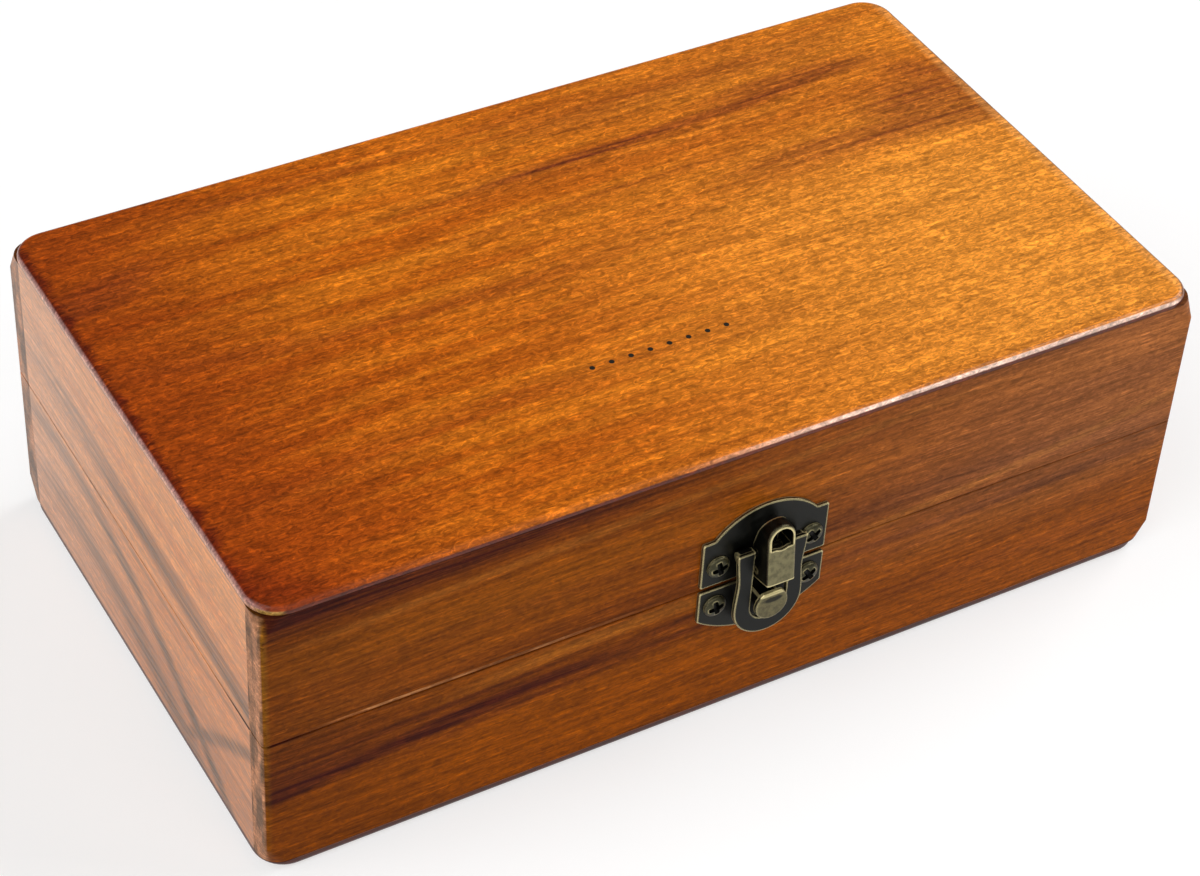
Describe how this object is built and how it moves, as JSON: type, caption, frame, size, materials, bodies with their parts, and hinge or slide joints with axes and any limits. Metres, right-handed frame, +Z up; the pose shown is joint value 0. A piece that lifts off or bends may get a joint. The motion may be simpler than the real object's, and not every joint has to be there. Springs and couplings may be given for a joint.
{
  "type": "stamp box",
  "caption": "Low rectangular wooden box with a hinged lid, two small butt hinges on the back and a bronze toggle latch on the front.",
  "frame": {"origin": "centre of the underside of the bottom panel", "axes": "+X along the length to the right as seen from the front, -Y to the front with the latch, +Z up"},
  "size_m": [0.18, 0.1139, 0.06],
  "materials": {
    "panel_wood": "stained orange brown, glossy lacquer",
    "wall_wood": "stained brown with dark streaks, satin lacquer",
    "dark_bronze": "antique bronze plating with bright worn edges",
    "worn_bronze": "antique bronze plating worn to bare brass",
    "bronze_screws": "antique bronze plated steel"
  },
  "bodies": {
    "base": {"base_back_wall": "wall_wood", "base_front_wall": "wall_wood", "base_left_wall": "wall_wood", "base_right_wall": "wall_wood", "bottom_panel": "panel_wood", "latch_keeper": "worn_bronze", "latch_keeper_screws": "bronze_screws", "left_hinge_base_leaf": "dark_bronze", "left_hinge_base_screws": "bronze_screws", "left_hinge_pin": "dark_bronze", "right_hinge_base_leaf": "dark_bronze", "right_hinge_base_screws": "bronze_screws", "right_hinge_pin": "dark_bronze"},
    "lid": {"latch_lid_plate": "dark_bronze", "latch_lid_screws": "bronze_screws", "left_hinge_lid_leaf": "dark_bronze", "left_hinge_lid_screws": "bronze_screws", "lever_pin": "dark_bronze", "lid_back_wall": "wall_wood", "lid_front_wall": "wall_wood", "lid_left_wall": "wall_wood", "lid_right_wall": "wall_wood", "right_hinge_lid_leaf": "dark_bronze", "right_hinge_lid_screws": "bronze_screws", "top_panel": "panel_wood"},
    "latch_lever": {"latch_lever": "worn_bronze", "loop_pin": "dark_bronze"},
    "latch_loop": {"latch_loop": "dark_bronze"}
  },
  "joints": [
    {"name": "lid_hinge", "type": "hinge", "parent": "base", "child": "lid", "pos_m": [0, 0.0538, 0.03066], "axis": [-1, 0, 0], "range_deg": [0, 180]},
    {"name": "lever_hinge", "type": "hinge", "parent": "lid", "child": "latch_lever", "pos_m": [0.0026, -0.0546, 0.0339], "axis": [1, 0, 0], "range_deg": [0, 105]},
    {"name": "loop_hinge", "type": "hinge", "parent": "latch_lever", "child": "latch_loop", "pos_m": [0.0026, -0.0541, 0.0376], "axis": [1, 0, 0], "range_deg": [-126, 0]}
  ],
  "couplings": [
    {"joint": "loop_hinge", "follows": "lever_hinge", "ratio": -1.2}
  ]
}
